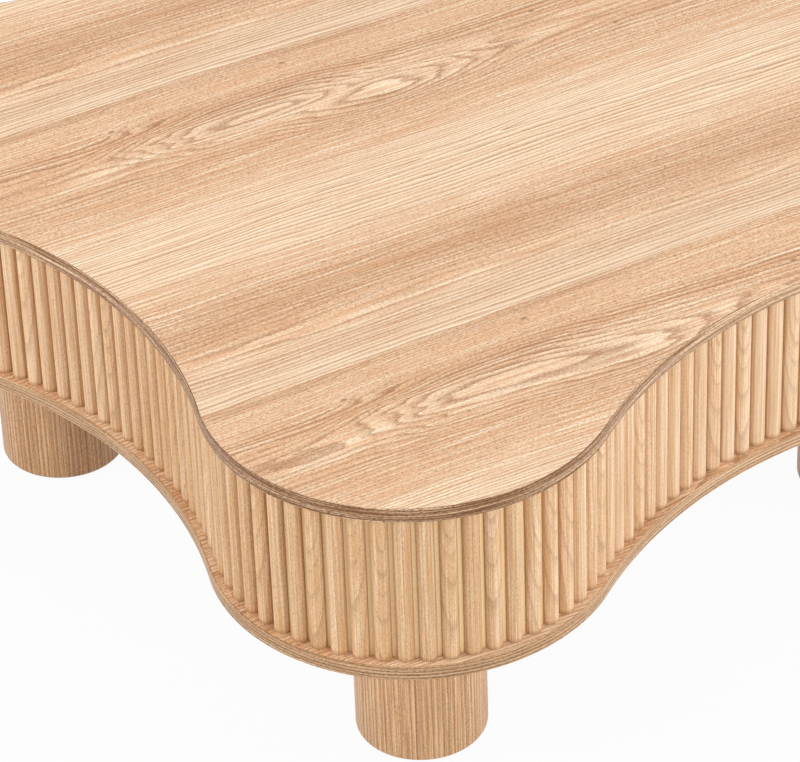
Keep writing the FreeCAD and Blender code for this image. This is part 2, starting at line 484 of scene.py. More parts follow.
def new_group(
    name: str,
    places: tuple[str, ...],
    values: tuple[str, ...],
    outputs: tuple[str, ...],
) -> tuple[Graph, dict[str, Socket]]:
    """Start a shader node group.

    Args:
        name: Name of the group.
        places: Names of the inputs that are vectors.
        values: Names of the inputs that are single values.
        outputs: Names of the outputs, which are all single values.

    Returns:
        A writer for the group, and its input sockets by name.
    """
    tree = bpy.data.node_groups.new(name, "ShaderNodeTree")
    for key in places:
        tree.interface.new_socket(key, in_out="INPUT", socket_type="NodeSocketVector")
    for key in values:
        tree.interface.new_socket(key, in_out="INPUT", socket_type="NodeSocketFloat")
    for key in outputs:
        tree.interface.new_socket(key, in_out="OUTPUT", socket_type="NodeSocketFloat")
    graph = Graph(tree)
    entry = graph.add("NodeGroupInput")
    return graph, {key: entry.outputs[key] for key in (*places, *values)}


class Grain:
    """Node groups that draw the figure of the wood, built once and placed in every wood finish.

    Waves are counted in a metre, along the grain, across it and into it.

    Attributes:
        sway_waves: Waves of the rings' slow sway.
        sway_reach: How far they sway.
        ripple_waves: Waves of the quicker ripples in that sway.
        ripple_reach: How far they ripple.
        jag_waves: Waves of the jags along the grain.
        jag_reach: How far these reach.
        fine_waves: Waves of the fine unevenness of a ring's line.
        fine_reach: How far this moves the line, in rings.
        uneven_waves: Waves in a ring of the unevenness of the rings' widths.
        uneven_reach: How far this moves a ring, in rings.
        ring_fade: How dark a ring is, by the share of its width over which it fades.
        faintest: How strong the faintest ring's line is.
        fleck_waves: Waves of the pores.
        fleck_edges: Noise between which a pore begins and is full.
        streak_waves: Waves of the slow streaks.
        streak_edges: Noise between which a streak begins and is full.
        hair_waves: Waves of the hair lines.
        hair_edges: Noise between which a hair line begins and is full.
    """

    sway_waves: Waves = (5.0, 26.0, 1.0)
    sway_reach: float = 2.0
    ripple_waves: Waves = (17.0, 75.0, 1.0)
    ripple_reach: float = 0.9
    jag_waves: Waves = (11.0, 95.0, 1.0)
    jag_reach: float = 2.0
    fine_waves: Waves = (40.0, 420.0, 1.0)
    fine_reach: float = 0.25
    uneven_waves: float = 0.4
    uneven_reach: float = 0.8
    ring_fade: Stops = (
        (0.0, 0.0), (0.09, 0.9), (0.2, 1.0), (0.36, 0.6), (0.6, 0.2), (0.85, 0.02), (1.0, 0.0),
    )
    faintest: float = 0.6
    fleck_waves: Waves = (420.0, 1500.0, 1.0)
    fleck_edges: Span = (0.46, 0.64)
    streak_waves: Waves = (5.0, 300.0, 1.0)
    streak_edges: Span = (0.34, 0.66)
    hair_waves: Waves = (14.0, 1000.0, 1.0)
    hair_edges: Span = (0.36, 0.64)

    def __init__(self) -> None:
        """Build the groups."""
        self.waver = self.waver_group()
        self.heart = self.heart_group()
        self.rings = self.ring_group()
        self.pores = self.pore_group()

    def waver_group(self) -> bpy.types.NodeTree:
        """Slow sway of the growth rings, and jags that neighbouring rings share, both about 0."""
        graph, entry = new_group("ring_waver", ("Place",), (), ("Sway", "Jag"))
        slow = graph.noise(entry["Place"], self.sway_waves, detail=1.0)
        ripple = graph.noise(entry["Place"], self.ripple_waves, detail=1.0)
        quick = graph.noise(entry["Place"], self.jag_waves, detail=1.5)
        sway = graph.about(slow, self.sway_reach)
        sway = graph.calc("ADD", sway, graph.about(ripple, self.ripple_reach))
        jag = graph.about(quick, self.jag_reach)
        graph.add("NodeGroupOutput", {"Sway": sway, "Jag": jag})
        return graph.tree

    def heart_group(self) -> bpy.types.NodeTree:
        """Depth in the growth rings near a heart, where they are cut almost flat.

        The climb along the grain is 1 - exp(-(along / length) to the power). The depth is the
        tightness times the root of (across squared + core squared + climb times (rise squared + point
        times across)), so a few rings close in loops with pointed ends and the others run straight on.
        The slope is the sine of the angle at which the rings are cut, 0 where they are cut flat.
        """
        names = ("Along", "Across", "Length", "Rise", "Core", "Power", "Point", "Tight")
        graph, entry = new_group("heart_figure", (), names, ("Depth", "Slope"))
        run = graph.calc("ABSOLUTE", graph.calc("DIVIDE", entry["Along"], entry["Length"]))
        steep = graph.calc("MULTIPLY", graph.calc("POWER", run, entry["Power"]), -1.0)
        climb = graph.calc("SUBTRACT", 1.0, graph.calc("EXPONENT", steep))
        off = graph.calc("ABSOLUTE", entry["Across"])
        rise = graph.calc("POWER", entry["Rise"], 2.0)
        core = graph.calc("POWER", entry["Core"], 2.0)
        lift = graph.calc("MULTIPLY_ADD", off, entry["Point"], rise)
        base = graph.calc("MULTIPLY_ADD", climb, lift, core)
        root = graph.calc("SQRT", graph.calc("MULTIPLY_ADD", off, off, base))
        slope = graph.calc("DIVIDE", off, root)
        depth = graph.calc("MULTIPLY", root, entry["Tight"])
        graph.add("NodeGroupOutput", {"Depth": depth, "Slope": slope})
        return graph.tree

    def ring_group(self) -> bpy.types.NodeTree:
        """Dark line at the start of each growth ring, which fades through the ring.

        Each ring has a strength of its own. The share of a ring over which its line fades is the
        input Thickness.
        """
        values = ("Depth", "Width", "Thickness")
        graph, entry = new_group("growth_rings", ("Place",), values, ("Line", "Ring"))
        fine = graph.noise(entry["Place"], self.fine_waves, detail=3.0)
        count = graph.calc("DIVIDE", entry["Depth"], entry["Width"])
        inputs = {"W": count, "Scale": self.uneven_waves, "Detail": 1.0}
        uneven = graph.add("ShaderNodeTexNoise", inputs, noise_dimensions="1D").outputs[0]
        count = graph.calc("MULTIPLY_ADD", uneven, self.uneven_reach, count)
        count = graph.calc("MULTIPLY_ADD", fine, self.fine_reach, count)
        within = graph.calc("DIVIDE", graph.calc("FRACT", count), entry["Thickness"])
        number = graph.calc("FLOOR", count)
        draw = graph.add("ShaderNodeTexWhiteNoise", {"W": number}, noise_dimensions="1D").outputs[0]
        strength = graph.span(draw, 0.0, 1.0, self.faintest, 1.0)
        line = graph.calc("MULTIPLY", graph.ramp(within, self.ring_fade), strength)
        graph.add("NodeGroupOutput", {"Line": line, "Ring": draw})
        return graph.tree

    def pore_group(self) -> bpy.types.NodeTree:
        """Short dark flecks of the pores, slow streaks along the grain, and hair lines."""
        graph, entry = new_group("pore_flecks", ("Place",), (), ("Fleck", "Streak", "Hair"))
        fine = graph.noise(entry["Place"], self.fleck_waves)
        slow = graph.noise(entry["Place"], self.streak_waves)
        thin = graph.noise(entry["Place"], self.hair_waves, detail=1.0)
        masks = {
            "Fleck": graph.span(fine, *self.fleck_edges),
            "Streak": graph.span(slow, *self.streak_edges),
            "Hair": graph.span(thin, *self.hair_edges),
        }
        graph.add("NodeGroupOutput", masks)
        return graph.tree


@dataclass(frozen=True)
class Heart:
    """Place where the growth rings are cut almost flat.

    Attributes:
        along: Its middle along the grain.
        across: Its middle across the grain.
        length: Length over which the loops close.
        rise: Depth in the rings that is gained over that length.
        core: Depth in the rings at its middle.
        power: How bluntly the loops end.
        point: How sharply the loops end in a point.
        tight: How much closer together its rings lie than elsewhere.
    """

    along: float
    across: float
    length: float
    rise: float
    core: float
    power: float = 2.0
    point: float = 0.0
    tight: float = 1.0

    def measure(
        self,
        graph: Graph,
        grain: Grain,
        along: Socket,
        across: Socket,
    ) -> tuple[Socket, Socket]:
        """Depth in the rings about this heart, and its slope across the grain.

        Args:
            graph: Writer for the material.
            grain: The grain groups.
            along: Place along the grain.
            across: Place across the grain.

        Returns:
            The depth and the slope.
        """
        run = graph.calc("SUBTRACT", along, self.along)
        off = graph.calc("SUBTRACT", across, self.across)
        size = {"length": self.length, "rise": self.rise, "core": self.core}
        form = {"power": self.power, "point": self.point, "tight": self.tight}
        node = graph.group(grain.heart, along=run, across=off, **size, **form)
        return node.outputs["Depth"], node.outputs["Slope"]


@dataclass(frozen=True)
class Paint:
    """A material that is being written.

    Attributes:
        material: The material.
        graph: Writer for its nodes.
        shader: Its surface shader.
    """

    material: bpy.types.Material
    graph: Graph
    shader: bpy.types.Node

    @classmethod
    def start(cls, name: str) -> "Paint":
        """Start a material with a plain surface shader.

        Args:
            name: Name of the material.

        Returns:
            The new material with its writer.
        """
        material = bpy.data.materials.new(f"{name}_finish")
        material.use_nodes = True
        tree = material.node_tree
        return cls(material, Graph(tree), tree.nodes["Principled BSDF"])

    def coat(self, colour: Feed, rough: Feed) -> None:
        """Set the colour and the roughness of the surface."""
        self.graph.feed(self.shader.inputs["Base Color"], colour)
        self.graph.feed(self.shader.inputs["Roughness"], rough)

    def emboss(self, height: Feed, strength: float, distance: float) -> None:
        """Give the surface a relief.

        Args:
            height: Height of the relief, as a share of the distance.
            strength: How strongly it shows.
            distance: Height of the relief where that share is 1.
        """
        inputs = {"Strength": strength, "Distance": distance, "Height": height}
        bump = self.graph.add("ShaderNodeBump", inputs)
        self.graph.feed(self.shader.inputs["Normal"], bump.outputs[0])


@dataclass(frozen=True)
class WoodTones:
    """Colours of one wood.

    Attributes:
        pale: The lightest wood.
        tan: The darker wood between the pale stripes.
        line: The dark start of a growth ring.
        deep: Pin knots, the dark lines after a joint, and the painted shade at the slats' sides and
            feet.
    """

    pale: Colour
    tan: Colour
    line: Colour
    deep: Colour = (0.28, 0.14, 0.06)


@dataclass(frozen=True)
class Figure:
    """Where a surface lies in the wood.

    Attributes:
        place: Place along and across the grain.
        depth: Depth in the growth rings.
        tone: How pale the wood is, from 0 to 1.
        strength: How strong the ring lines are, from 0 to 1, where they vary.
        spread: How far the tone differs from ring to ring, where that varies.
        thickness: Share of a ring over which its line fades, where that varies.
        dark: How far inside a pin knot or a dark line after a joint, or how deep in the painted shade
            of a slat, from 0 to 1, where there are any.
    """

    place: Socket
    depth: Socket
    tone: Socket
    strength: Socket | None = None
    spread: Socket | None = None
    thickness: Socket | None = None
    dark: Socket | None = None


@dataclass(frozen=True)
class WoodFinish:
    """Lacquered wood drawn by the grain groups.

    Attributes:
        name: Name of the finish.
        tones: Its colours.
        ring_width: Width of a growth ring.
        line_share: How strongly the ring lines show.
        fleck_share: How strongly the pores show.
        streak_share: How strongly slow streaks show.
        hair_share: How strongly hair lines show.
        rough: Roughness of the lacquer.
        relief: Height of the pores under the lacquer.
        ring_spread: How far the tone differs from ring to ring, where the figure doesn't say.
        fleck_calm: How much weaker the pores are in the palest wood.
        fleck_dull: How much duller the lacquer is over the pores.
        line_relief: Depth of the ring lines as a share of the pores' depth.
        bump_share: How strongly the relief shows.
    """

    name: str
    tones: WoodTones
    ring_width: float
    line_share: float
    fleck_share: float
    streak_share: float
    hair_share: float
    rough: float = 0.42
    relief: float = 0.00012
    ring_spread: float = 0.16
    fleck_calm: float = 0.75
    fleck_dull: float = 0.25
    line_relief: float = 0.6
    bump_share: float = 0.35

    def finish_surface(self, paint: Paint, grain: Grain, figure: Figure) -> None:
        """Colour, gloss and relief from the place in the grain.

        Args:
            paint: The material that is being written.
            grain: The grain groups.
            figure: Where the surface lies in the wood.
        """
        graph = paint.graph
        thickness = 1.0 if figure.thickness is None else figure.thickness
        form = {"depth": figure.depth, "width": self.ring_width, "thickness": thickness}
        rings = graph.group(grain.rings, place=figure.place, **form)
        pores = graph.group(grain.pores, place=figure.place)
        line = graph.calc("MULTIPLY", rings.outputs["Line"], self.line_share)
        if figure.strength is not None:
            line = graph.calc("MULTIPLY", line, figure.strength)
        tone = figure.tone
        for mask, share in (("Streak", self.streak_share), ("Hair", self.hair_share)):
            paler = graph.calc("SUBTRACT", 0.5, pores.outputs[mask])
            tone = graph.calc("MULTIPLY_ADD", paler, share, tone)
        ring = graph.calc("SUBTRACT", rings.outputs["Ring"], 0.5)
        spread = self.ring_spread if figure.spread is None else figure.spread
        tone = graph.calc("MULTIPLY_ADD", ring, spread, tone)
        tone = graph.calc("MINIMUM", graph.calc("MAXIMUM", tone, 0.0), 1.0)
        colour = graph.mix(tone, self.tones.tan, self.tones.pale)
        calm = graph.calc("MULTIPLY_ADD", figure.tone, -self.fleck_calm, 1.0)
        fleck = graph.calc("MULTIPLY", pores.outputs["Fleck"], calm)
        fleck = graph.calc("MULTIPLY", fleck, self.fleck_share)
        dark = graph.calc("MINIMUM", graph.calc("ADD", line, fleck), 1.0)
        colour = graph.mix(dark, colour, self.tones.line)
        if figure.dark is not None:
            colour = graph.mix(figure.dark, colour, self.tones.deep)
        paint.coat(colour, graph.calc("MULTIPLY_ADD", fleck, self.fleck_dull, self.rough))
        sunk = graph.calc("MULTIPLY", fleck, -1.0)
        height = graph.calc("MULTIPLY_ADD", line, -self.line_relief, sunk)
        paint.emboss(height, self.bump_share, self.relief)


@dataclass(frozen=True)
class LeafLayout:
    """How the sheets of veneer lie on the boards, all cut from one log and laid side by side.

    Attributes:
        turn: Heading of the grain from +X, in degrees.
        width: Width of a sheet, across the grain.
        start: Where a sheet starts, across the grain from the middle of the table.
        edge_waves: Waves in a metre of the sway of the sheets' wood across the grain.
        edge_reach: How far it sways.
        slip: How far each sheet is shifted along the grain from the one before.
        hearts: Hearts in a sheet, with their places across the grain from the start of the sheet.
        blend: How smoothly the rings of one heart pass into those of the next.
        front_blend: The same in the sheet nearest the front.
        jag: How far the ends of the loops are jagged along the grain, at the left and at the right.
        jag_span: From where to where along the grain the jags change.
        waver: How far the rings sway across the grain.
    """

    turn: float = -10.7
    width: float = 0.4065
    start: float = 0.155
    edge_waves: Waves = (2.2, 9.0, 1.0)
    edge_reach: float = 0.016
    slip: float = 0.009
    hearts: tuple[Heart, ...] = (
        Heart(-0.127, 0.0716, 0.110, 0.0265, 0.0163, 3.2, 0.012, 1.33),
        Heart(-0.028, 0.089, 0.112, 0.0265, 0.0172, 1.8, 0.016, 1.33),
        Heart(0.080, 0.345, 0.300, 0.006, 0.006),
    )
    blend: float = 0.005
    front_blend: float = 0.045
    jag: Span = (0.032, 0.007)
    jag_span: Span = (-0.19, -0.13)
    waver: float = 0.005


@dataclass(frozen=True)
class Patch:
    """A paler patch in a sheet of veneer.

    Attributes:
        along: Its middle along the grain.
        across: Its middle across the grain, from the start of the sheet.
        length: Half its length along the grain.
        width: Half its width.
        gain: How much paler it is.
    """

    along: float
    across: float
    length: float
    width: float
    gain: float


@dataclass(frozen=True)
class FaceVeneer:
    """Slip-matched veneer of the boards' faces.

    Attributes:
        wood: Its wood.
        leaf: How the sheets lie.
        tone_shares: How pale a sheet is, at shares of its width.
        line_shares: How strong the ring lines are, at shares of its width.
        spread_shares: How far the tone differs from ring to ring, at shares of its width.
        flat_line: How strong the ring lines are where the rings are cut flat.
        slope_zone: Slopes of the rings between which their lines grow to full strength.
        line_zone: Depths in the rings between which their lines grow thinner.
        line_spread: Share of a ring over which its line fades where it is cut squarely, before and
            after that.
        line_least: The least such share, where it is cut flat.
        patches: Its pale patches.
        patch_waves: Waves in a metre of the patches' ragged edges.
        patch_ragged: How ragged these are, as a share of a patch's size.
        patch_edge: Shares of a patch's size between which it fades.
        joint_reach: Width of the dark lines after a joint between sheets, as a share of a sheet.
        joint_dark: How dark they are.
        joint_waves: Waves in a metre of these lines.
        joint_edges: Noise between which such a line begins and is full.
        joint_gap_waves: Waves in a metre of the gaps along these lines.
        joint_gap_edges: Noise between which a gap ends and the lines are full.
        knot_places: Pin knots along the grain and across it from the start of a sheet.
        knot_size: Radius of a pin knot across the grain.
        knot_run: How much a step along the grain counts, beside one across it, in a pin knot.
    """

    wood: WoodFinish
    leaf: LeafLayout = LeafLayout()
    tone_shares: Stops = (
        (0.0, 0.16), (0.06, 0.12), (0.12, 0.08), (0.2, 0.12), (0.33, 0.16), (0.37, 0.42),
        (0.44, 0.85), (0.58, 0.86), (0.65, 0.42), (0.71, 0.14), (0.77, 0.08), (0.85, 0.2),
        (0.88, 0.58), (0.96, 0.85), (0.99, 1.0), (1.0, 0.16),
    )
    line_shares: Stops = (
        (0.0, 0.55), (0.035, 0.35), (0.06, 0.2), (0.085, 0.3), (0.11, 1.0), (0.25, 1.0),
        (0.3, 0.45), (0.37, 0.45), (0.43, 0.68), (0.58, 0.72), (0.64, 0.45), (0.7, 0.5),
        (0.75, 0.6), (0.84, 0.42), (0.88, 0.5), (0.94, 0.7), (1.0, 0.6),
    )
    spread_shares: Stops = (
        (0.0, 0.16), (0.09, 0.2), (0.13, 0.55), (0.26, 0.55), (0.32, 0.2), (1.0, 0.2),
    )
    flat_line: float = 0.55
    slope_zone: Span = (0.1, 0.8)
    line_zone: Span = (0.045, 0.073)
    line_spread: Span = (1.5, 1.0)
    line_least: float = 0.85
    patches: tuple[Patch, ...] = (
        Patch(-0.104, 0.073, 0.034, 0.010, 0.5),
        Patch(-0.012, 0.088, 0.022, 0.010, 0.5),
        Patch(-0.280, 0.088, 0.028, 0.009, 0.45),
        Patch(-0.234, 0.082, 0.016, 0.012, 0.45),
        Patch(0.128, 0.086, 0.036, 0.006, 0.34),
        Patch(-0.080, 0.078, 0.170, 0.030, 0.32),
    )
    patch_waves: Waves = (22.0, 170.0, 1.0)
    patch_ragged: float = 1.6
    patch_edge: Span = (0.6, 1.15)
    joint_reach: float = 0.035
    joint_dark: float = 0.5
    joint_waves: Waves = (5.0, 430.0, 1.0)
    joint_edges: Span = (0.44, 0.58)
    joint_gap_waves: Waves = (4.0, 12.0, 1.0)
    joint_gap_edges: Span = (0.34, 0.54)
    knot_places: tuple[Span, ...] = ((-0.077, 0.016), (-0.239, 0.035), (0.134, 0.053), (0.184, 0.105))
    knot_size: float = 0.0026
    knot_run: float = 0.6

    def make(self, grain: Grain) -> bpy.types.Material:
        """Build the material.

        The place on the board is turned into the grain, folded into sheets, and measured from the
        nearest heart.

        Args:
            grain: The grain groups.

        Returns:
            The finished material.
        """
        paint = Paint.start(self.wood.name)
        graph = paint.graph
        leaf = self.leaf
        spot = graph.add("ShaderNodeTexCoord").outputs["Object"]
        turn = (0.0, 0.0, math.radians(-leaf.turn))
        turned = graph.add("ShaderNodeMapping", {"Vector": spot, "Rotation": turn}).outputs[0]
        along, up, _ = graph.split(turned)
        sway = graph.noise(turned, leaf.edge_waves, detail=1.0)
        drift = graph.about(sway, leaf.edge_reach)
        down = graph.calc("ADD", graph.calc("SUBTRACT", leaf.start, up), drift)
        sheets = graph.calc("DIVIDE", down, leaf.width)
        number = graph.calc("FLOOR", sheets)
        share = graph.calc("FRACT", sheets)
        along = graph.calc("MULTIPLY_ADD", number, leaf.slip, along)
        across = graph.calc("MULTIPLY", share, leaf.width)
        place = graph.join(along, across)
        waver = graph.group(grain.waver, place=place)
        reach = graph.span(along, *leaf.jag_span, *leaf.jag)
        run = graph.calc("MULTIPLY_ADD", waver.outputs["Jag"], reach, along)
        blend = graph.span(number, 0.0, 1.0, leaf.blend, leaf.front_blend)
        depth, slope = leaf.hearts[0].measure(graph, grain, run, across)
        for heart in leaf.hearts[1:]:
            other_depth, other_slope = heart.measure(graph, grain, run, across)
            depth = graph.calc("SMOOTH_MIN", depth, other_depth, blend)
            slope = graph.calc("MINIMUM", slope, other_slope)
        depth = graph.calc("MULTIPLY_ADD", waver.outputs["Sway"], leaf.waver, depth)
        spread = graph.ramp(share, self.spread_shares)
        paler = self.pale_patches(graph, place, run)
        tone = graph.calc("ADD", paler, graph.ramp(share, self.tone_shares))
        square = graph.span(slope, *self.slope_zone, self.flat_line, 1.0)
        strength = graph.calc("MULTIPLY", square, graph.ramp(share, self.line_shares))
        fade = graph.span(depth, *self.line_zone, *self.line_spread)
        thickness = graph.calc("MAXIMUM", graph.calc("MULTIPLY", slope, fade), self.line_least)
        dark = graph.calc("MAXIMUM", self.knots(graph, place), self.joint(graph, place, share))
        figure = Figure(place, depth, tone, strength, spread, thickness, dark)
        self.wood.finish_surface(paint, grain, figure)
        return paint.material

    def pale_patches(self, graph: Graph, place: Socket, run: Socket) -> Socket:
        """How much paler the wood is inside the pale patches, which have ragged edges.

        Args:
            graph: Writer for the material.
            place: Place along and across the grain.
            run: Jagged place along the grain.

        Returns:
            The gain in tone.
        """
        ragged = graph.about(graph.noise(place, self.patch_waves), self.patch_ragged)
        spot = graph.join(run, graph.split(place)[1])
        gain: Feed = 0.0
        for patch in self.patches:
            off = graph.vector("SUBTRACT", spot, (patch.along, patch.across, 0.0))
            far = graph.vector("DIVIDE", off, (patch.length, patch.width, 1.0))
            reach = graph.calc("ADD", graph.measure("LENGTH", far), ragged)
            within = graph.span(reach, *self.patch_edge, patch.gain, 0.0)
            gain = graph.calc("MAXIMUM", gain, within)
        return gain

    def joint(self, graph: Graph, place: Socket, share: Socket) -> Socket:
        """Mask of the dark lines after a joint, which come and go along it."""
        lines = graph.span(graph.noise(place, self.joint_waves), *self.joint_edges)
        slow = graph.noise(place, self.joint_gap_waves, detail=1.0)
        kept = graph.span(slow, *self.joint_gap_edges)
        near = graph.span(share, 0.0, self.joint_reach, self.joint_dark, 0.0)
        return graph.calc("MULTIPLY", graph.calc("MULTIPLY", lines, kept), near)

    def knots(self, graph: Graph, place: Socket) -> Socket:
        """Mask of the pin knots, 1 in the middle of each."""
        mask: Feed = 0.0
        for knot in self.knot_places:
            far = graph.vector("SUBTRACT", place, (*knot, 0.0))
            far = graph.vector("MULTIPLY", far, (self.knot_run, 1.0, 1.0))
            within = graph.span(graph.measure("LENGTH", far), 0.0, self.knot_size, 1.0, 0.0)
            mask = graph.calc("MAXIMUM", mask, within)
        return mask


@dataclass(frozen=True)
class StripWood:
    """Wood of a piece whose grain follows its own length.

    Attributes:
        wood: Its wood.
        heart: Its heart.
        jag: How far the ends of the loops are jagged along the grain.
        waver: How far the rings sway across the grain.
        fineness: How much finer than plain the grain's detail is.
        tone_low: Tone of the darkest strip.
        tone_high: Tone of the palest strip.
        line_least: Least share of a ring over which its line fades, where it is cut flat.
        drift: How far the tone drifts within a piece.
        drift_waves: Waves of that drift in a metre, along and across the grain.
        apart: How far apart in the wood pieces of different tone lie, or 0 where the tone changes
            within a piece.
    """

    wood: WoodFinish
    heart: Heart = Heart(0.0, 0.0, 0.12, 0.013, 0.003)
    jag: float = 0.006
    waver: float = 0.0006
    fineness: float = 1.0
    tone_low: float = 0.2
    tone_high: float = 0.75
    line_least: float = 0.4
    drift: float = 0.4
    drift_waves: Waves = (9.0, 60.0, 1.0)
    apart: float = 40.0

    def make(self, grain: Grain) -> bpy.types.Material:
        """Build the material from the piece's own grain map, its tone and its painted shade.

        Args:
            grain: The grain groups.

        Returns:
            The finished material.
        """
        paint = Paint.start(self.wood.name)
        graph = paint.graph
        spot = graph.add("ShaderNodeUVMap", uv_map="grain").outputs[0]
        # The tone attribute holds painted light and shade for the bands, slats and legs, besides the
        # wood's own tone.
        draw = graph.add("ShaderNodeAttribute", attribute_name="tone").outputs["Fac"]
        along, across, _ = graph.split(spot)
        place = graph.join(along, across, graph.calc("MULTIPLY", draw, self.apart))
        if self.fineness != 1.0:
            place = graph.vector("MULTIPLY", place, (self.fineness, self.fineness, 1.0))
        waver = graph.group(grain.waver, place=place)
        run = graph.calc("MULTIPLY_ADD", waver.outputs["Jag"], self.jag, along)
        depth, slope = self.heart.measure(graph, grain, run, across)
        depth = graph.calc("MULTIPLY_ADD", waver.outputs["Sway"], self.waver, depth)
        thickness = graph.calc("MAXIMUM", slope, self.line_least)
        slow = graph.noise(place, self.drift_waves, detail=1.0)
        tone = graph.span(draw, 0.0, 1.0, self.tone_low, self.tone_high)
        tone = graph.calc("ADD", tone, graph.about(slow, self.drift))
        # Painted shade: the slats darken at their sides by the gaps and at their feet, where they lie
        # in shade.
        painted_shade = graph.add("ShaderNodeAttribute", attribute_name="painted_shade").outputs["Fac"]
        figure = Figure(place, depth, tone, thickness=thickness, dark=painted_shade)
        self.wood.finish_surface(paint, grain, figure)
        return paint.material


@dataclass(frozen=True)
class HiddenWood:
    """Sawn wood inside the apron and behind the slats, with its grain along one axis of the table.

    Attributes:
        wood: Its wood.
        upright: Whether the grain stands upright or lies along X.
        lean: How much a step along Y counts, beside one along X, across upright grain.
        tone_waves: Waves in a metre of its tone, along and across the grain.
    """

    wood: WoodFinish
    upright: bool
    lean: float = 1.3
    tone_waves: Waves = (6.0, 40.0, 1.0)

    def make(self, grain: Grain) -> bpy.types.Material:
        """Build the material from the place on the table.

        Args:
            grain: The grain groups.

        Returns:
            The finished material.
        """
        paint = Paint.start(self.wood.name)
        graph = paint.graph
        x, y, z = graph.split(graph.add("ShaderNodeTexCoord").outputs["Object"])
        if self.upright:
            side = graph.calc("MULTIPLY_ADD", y, self.lean, x)
            place = graph.join(z, side, y)
        else:
            side = graph.calc("ADD", y, z)
            place = graph.join(x, side, z)
        depth = graph.calc("ABSOLUTE", side)
        tone = graph.noise(place, self.tone_waves)
        self.wood.finish_surface(paint, grain, Figure(place, depth, tone))
        return paint.material


@dataclass(frozen=True)
class Felt:
    """Pressed felt of the foot pads.

    Attributes:
        name: Name of the finish.
        dark: Colour between the fibres.
        light: Colour of the fibres.
        fibre_waves: Fibres in a metre.
        fibre_edges: Noise between which a fibre begins and is full.
        rough: Its roughness.
        sheen: How strongly its fibres catch the light from the side.
        bump_share: How strongly the relief shows.
        relief: Height of the fibres.
    """

    name: str = "pad_felt"
    dark: Colour = (0.10, 0.085, 0.07)
    light: Colour = (0.24, 0.21, 0.18)
    fibre_waves: float = 900.0
    fibre_edges: Span = (0.35, 0.65)
    rough: float = 0.95
    sheen: float = 0.3
    bump_share: float = 0.8
    relief: float = 0.0004

    def make(self) -> bpy.types.Material:
        """Build the material.

        Returns:
            The finished material.
        """
        paint = Paint.start(self.name)
        graph = paint.graph
        spot = graph.add("ShaderNodeTexCoord").outputs["Object"]
        fibre = graph.noise(spot, (self.fibre_waves,) * 3, detail=4.0)
        colour = graph.mix(graph.span(fibre, *self.fibre_edges), self.dark, self.light)
        paint.coat(colour, self.rough)
        paint.shader.inputs["Sheen Weight"].default_value = self.sheen
        paint.emboss(fibre, self.bump_share, self.relief)
        return paint.material


@dataclass(frozen=True)
class PlatedSteel:
    """Zinc plating of the screws, bolts and nuts.

    Attributes:
        name: Name of the finish.
        bright: Colour of the clean plating.
        dull: Colour of its cloudy patches.
        cloud_waves: Waves of the cloudy patches in a metre.
        cloud_edges: Noise between which the roughness changes.
        rough: Roughness before and after that.
    """

    name: str = "plated_steel"
    bright: Colour = (0.70, 0.70, 0.68)
    dull: Colour = (0.52, 0.52, 0.50)
    cloud_waves: float = 400.0
    cloud_edges: Span = (0.3, 0.7)
    rough: Span = (0.28, 0.45)

    def make(self) -> bpy.types.Material:
        """Build the material.

        Returns:
            The finished material.
        """
        paint = Paint.start(self.name)
        graph = paint.graph
        spot = graph.add("ShaderNodeTexCoord").outputs["Object"]
        cloud = graph.noise(spot, (self.cloud_waves,) * 3, detail=3.0)
        colour = graph.mix(cloud, self.dull, self.bright)
        paint.coat(colour, graph.span(cloud, *self.cloud_edges, *self.rough))
        paint.shader.inputs["Metallic"].default_value = 1.0
        return paint.material


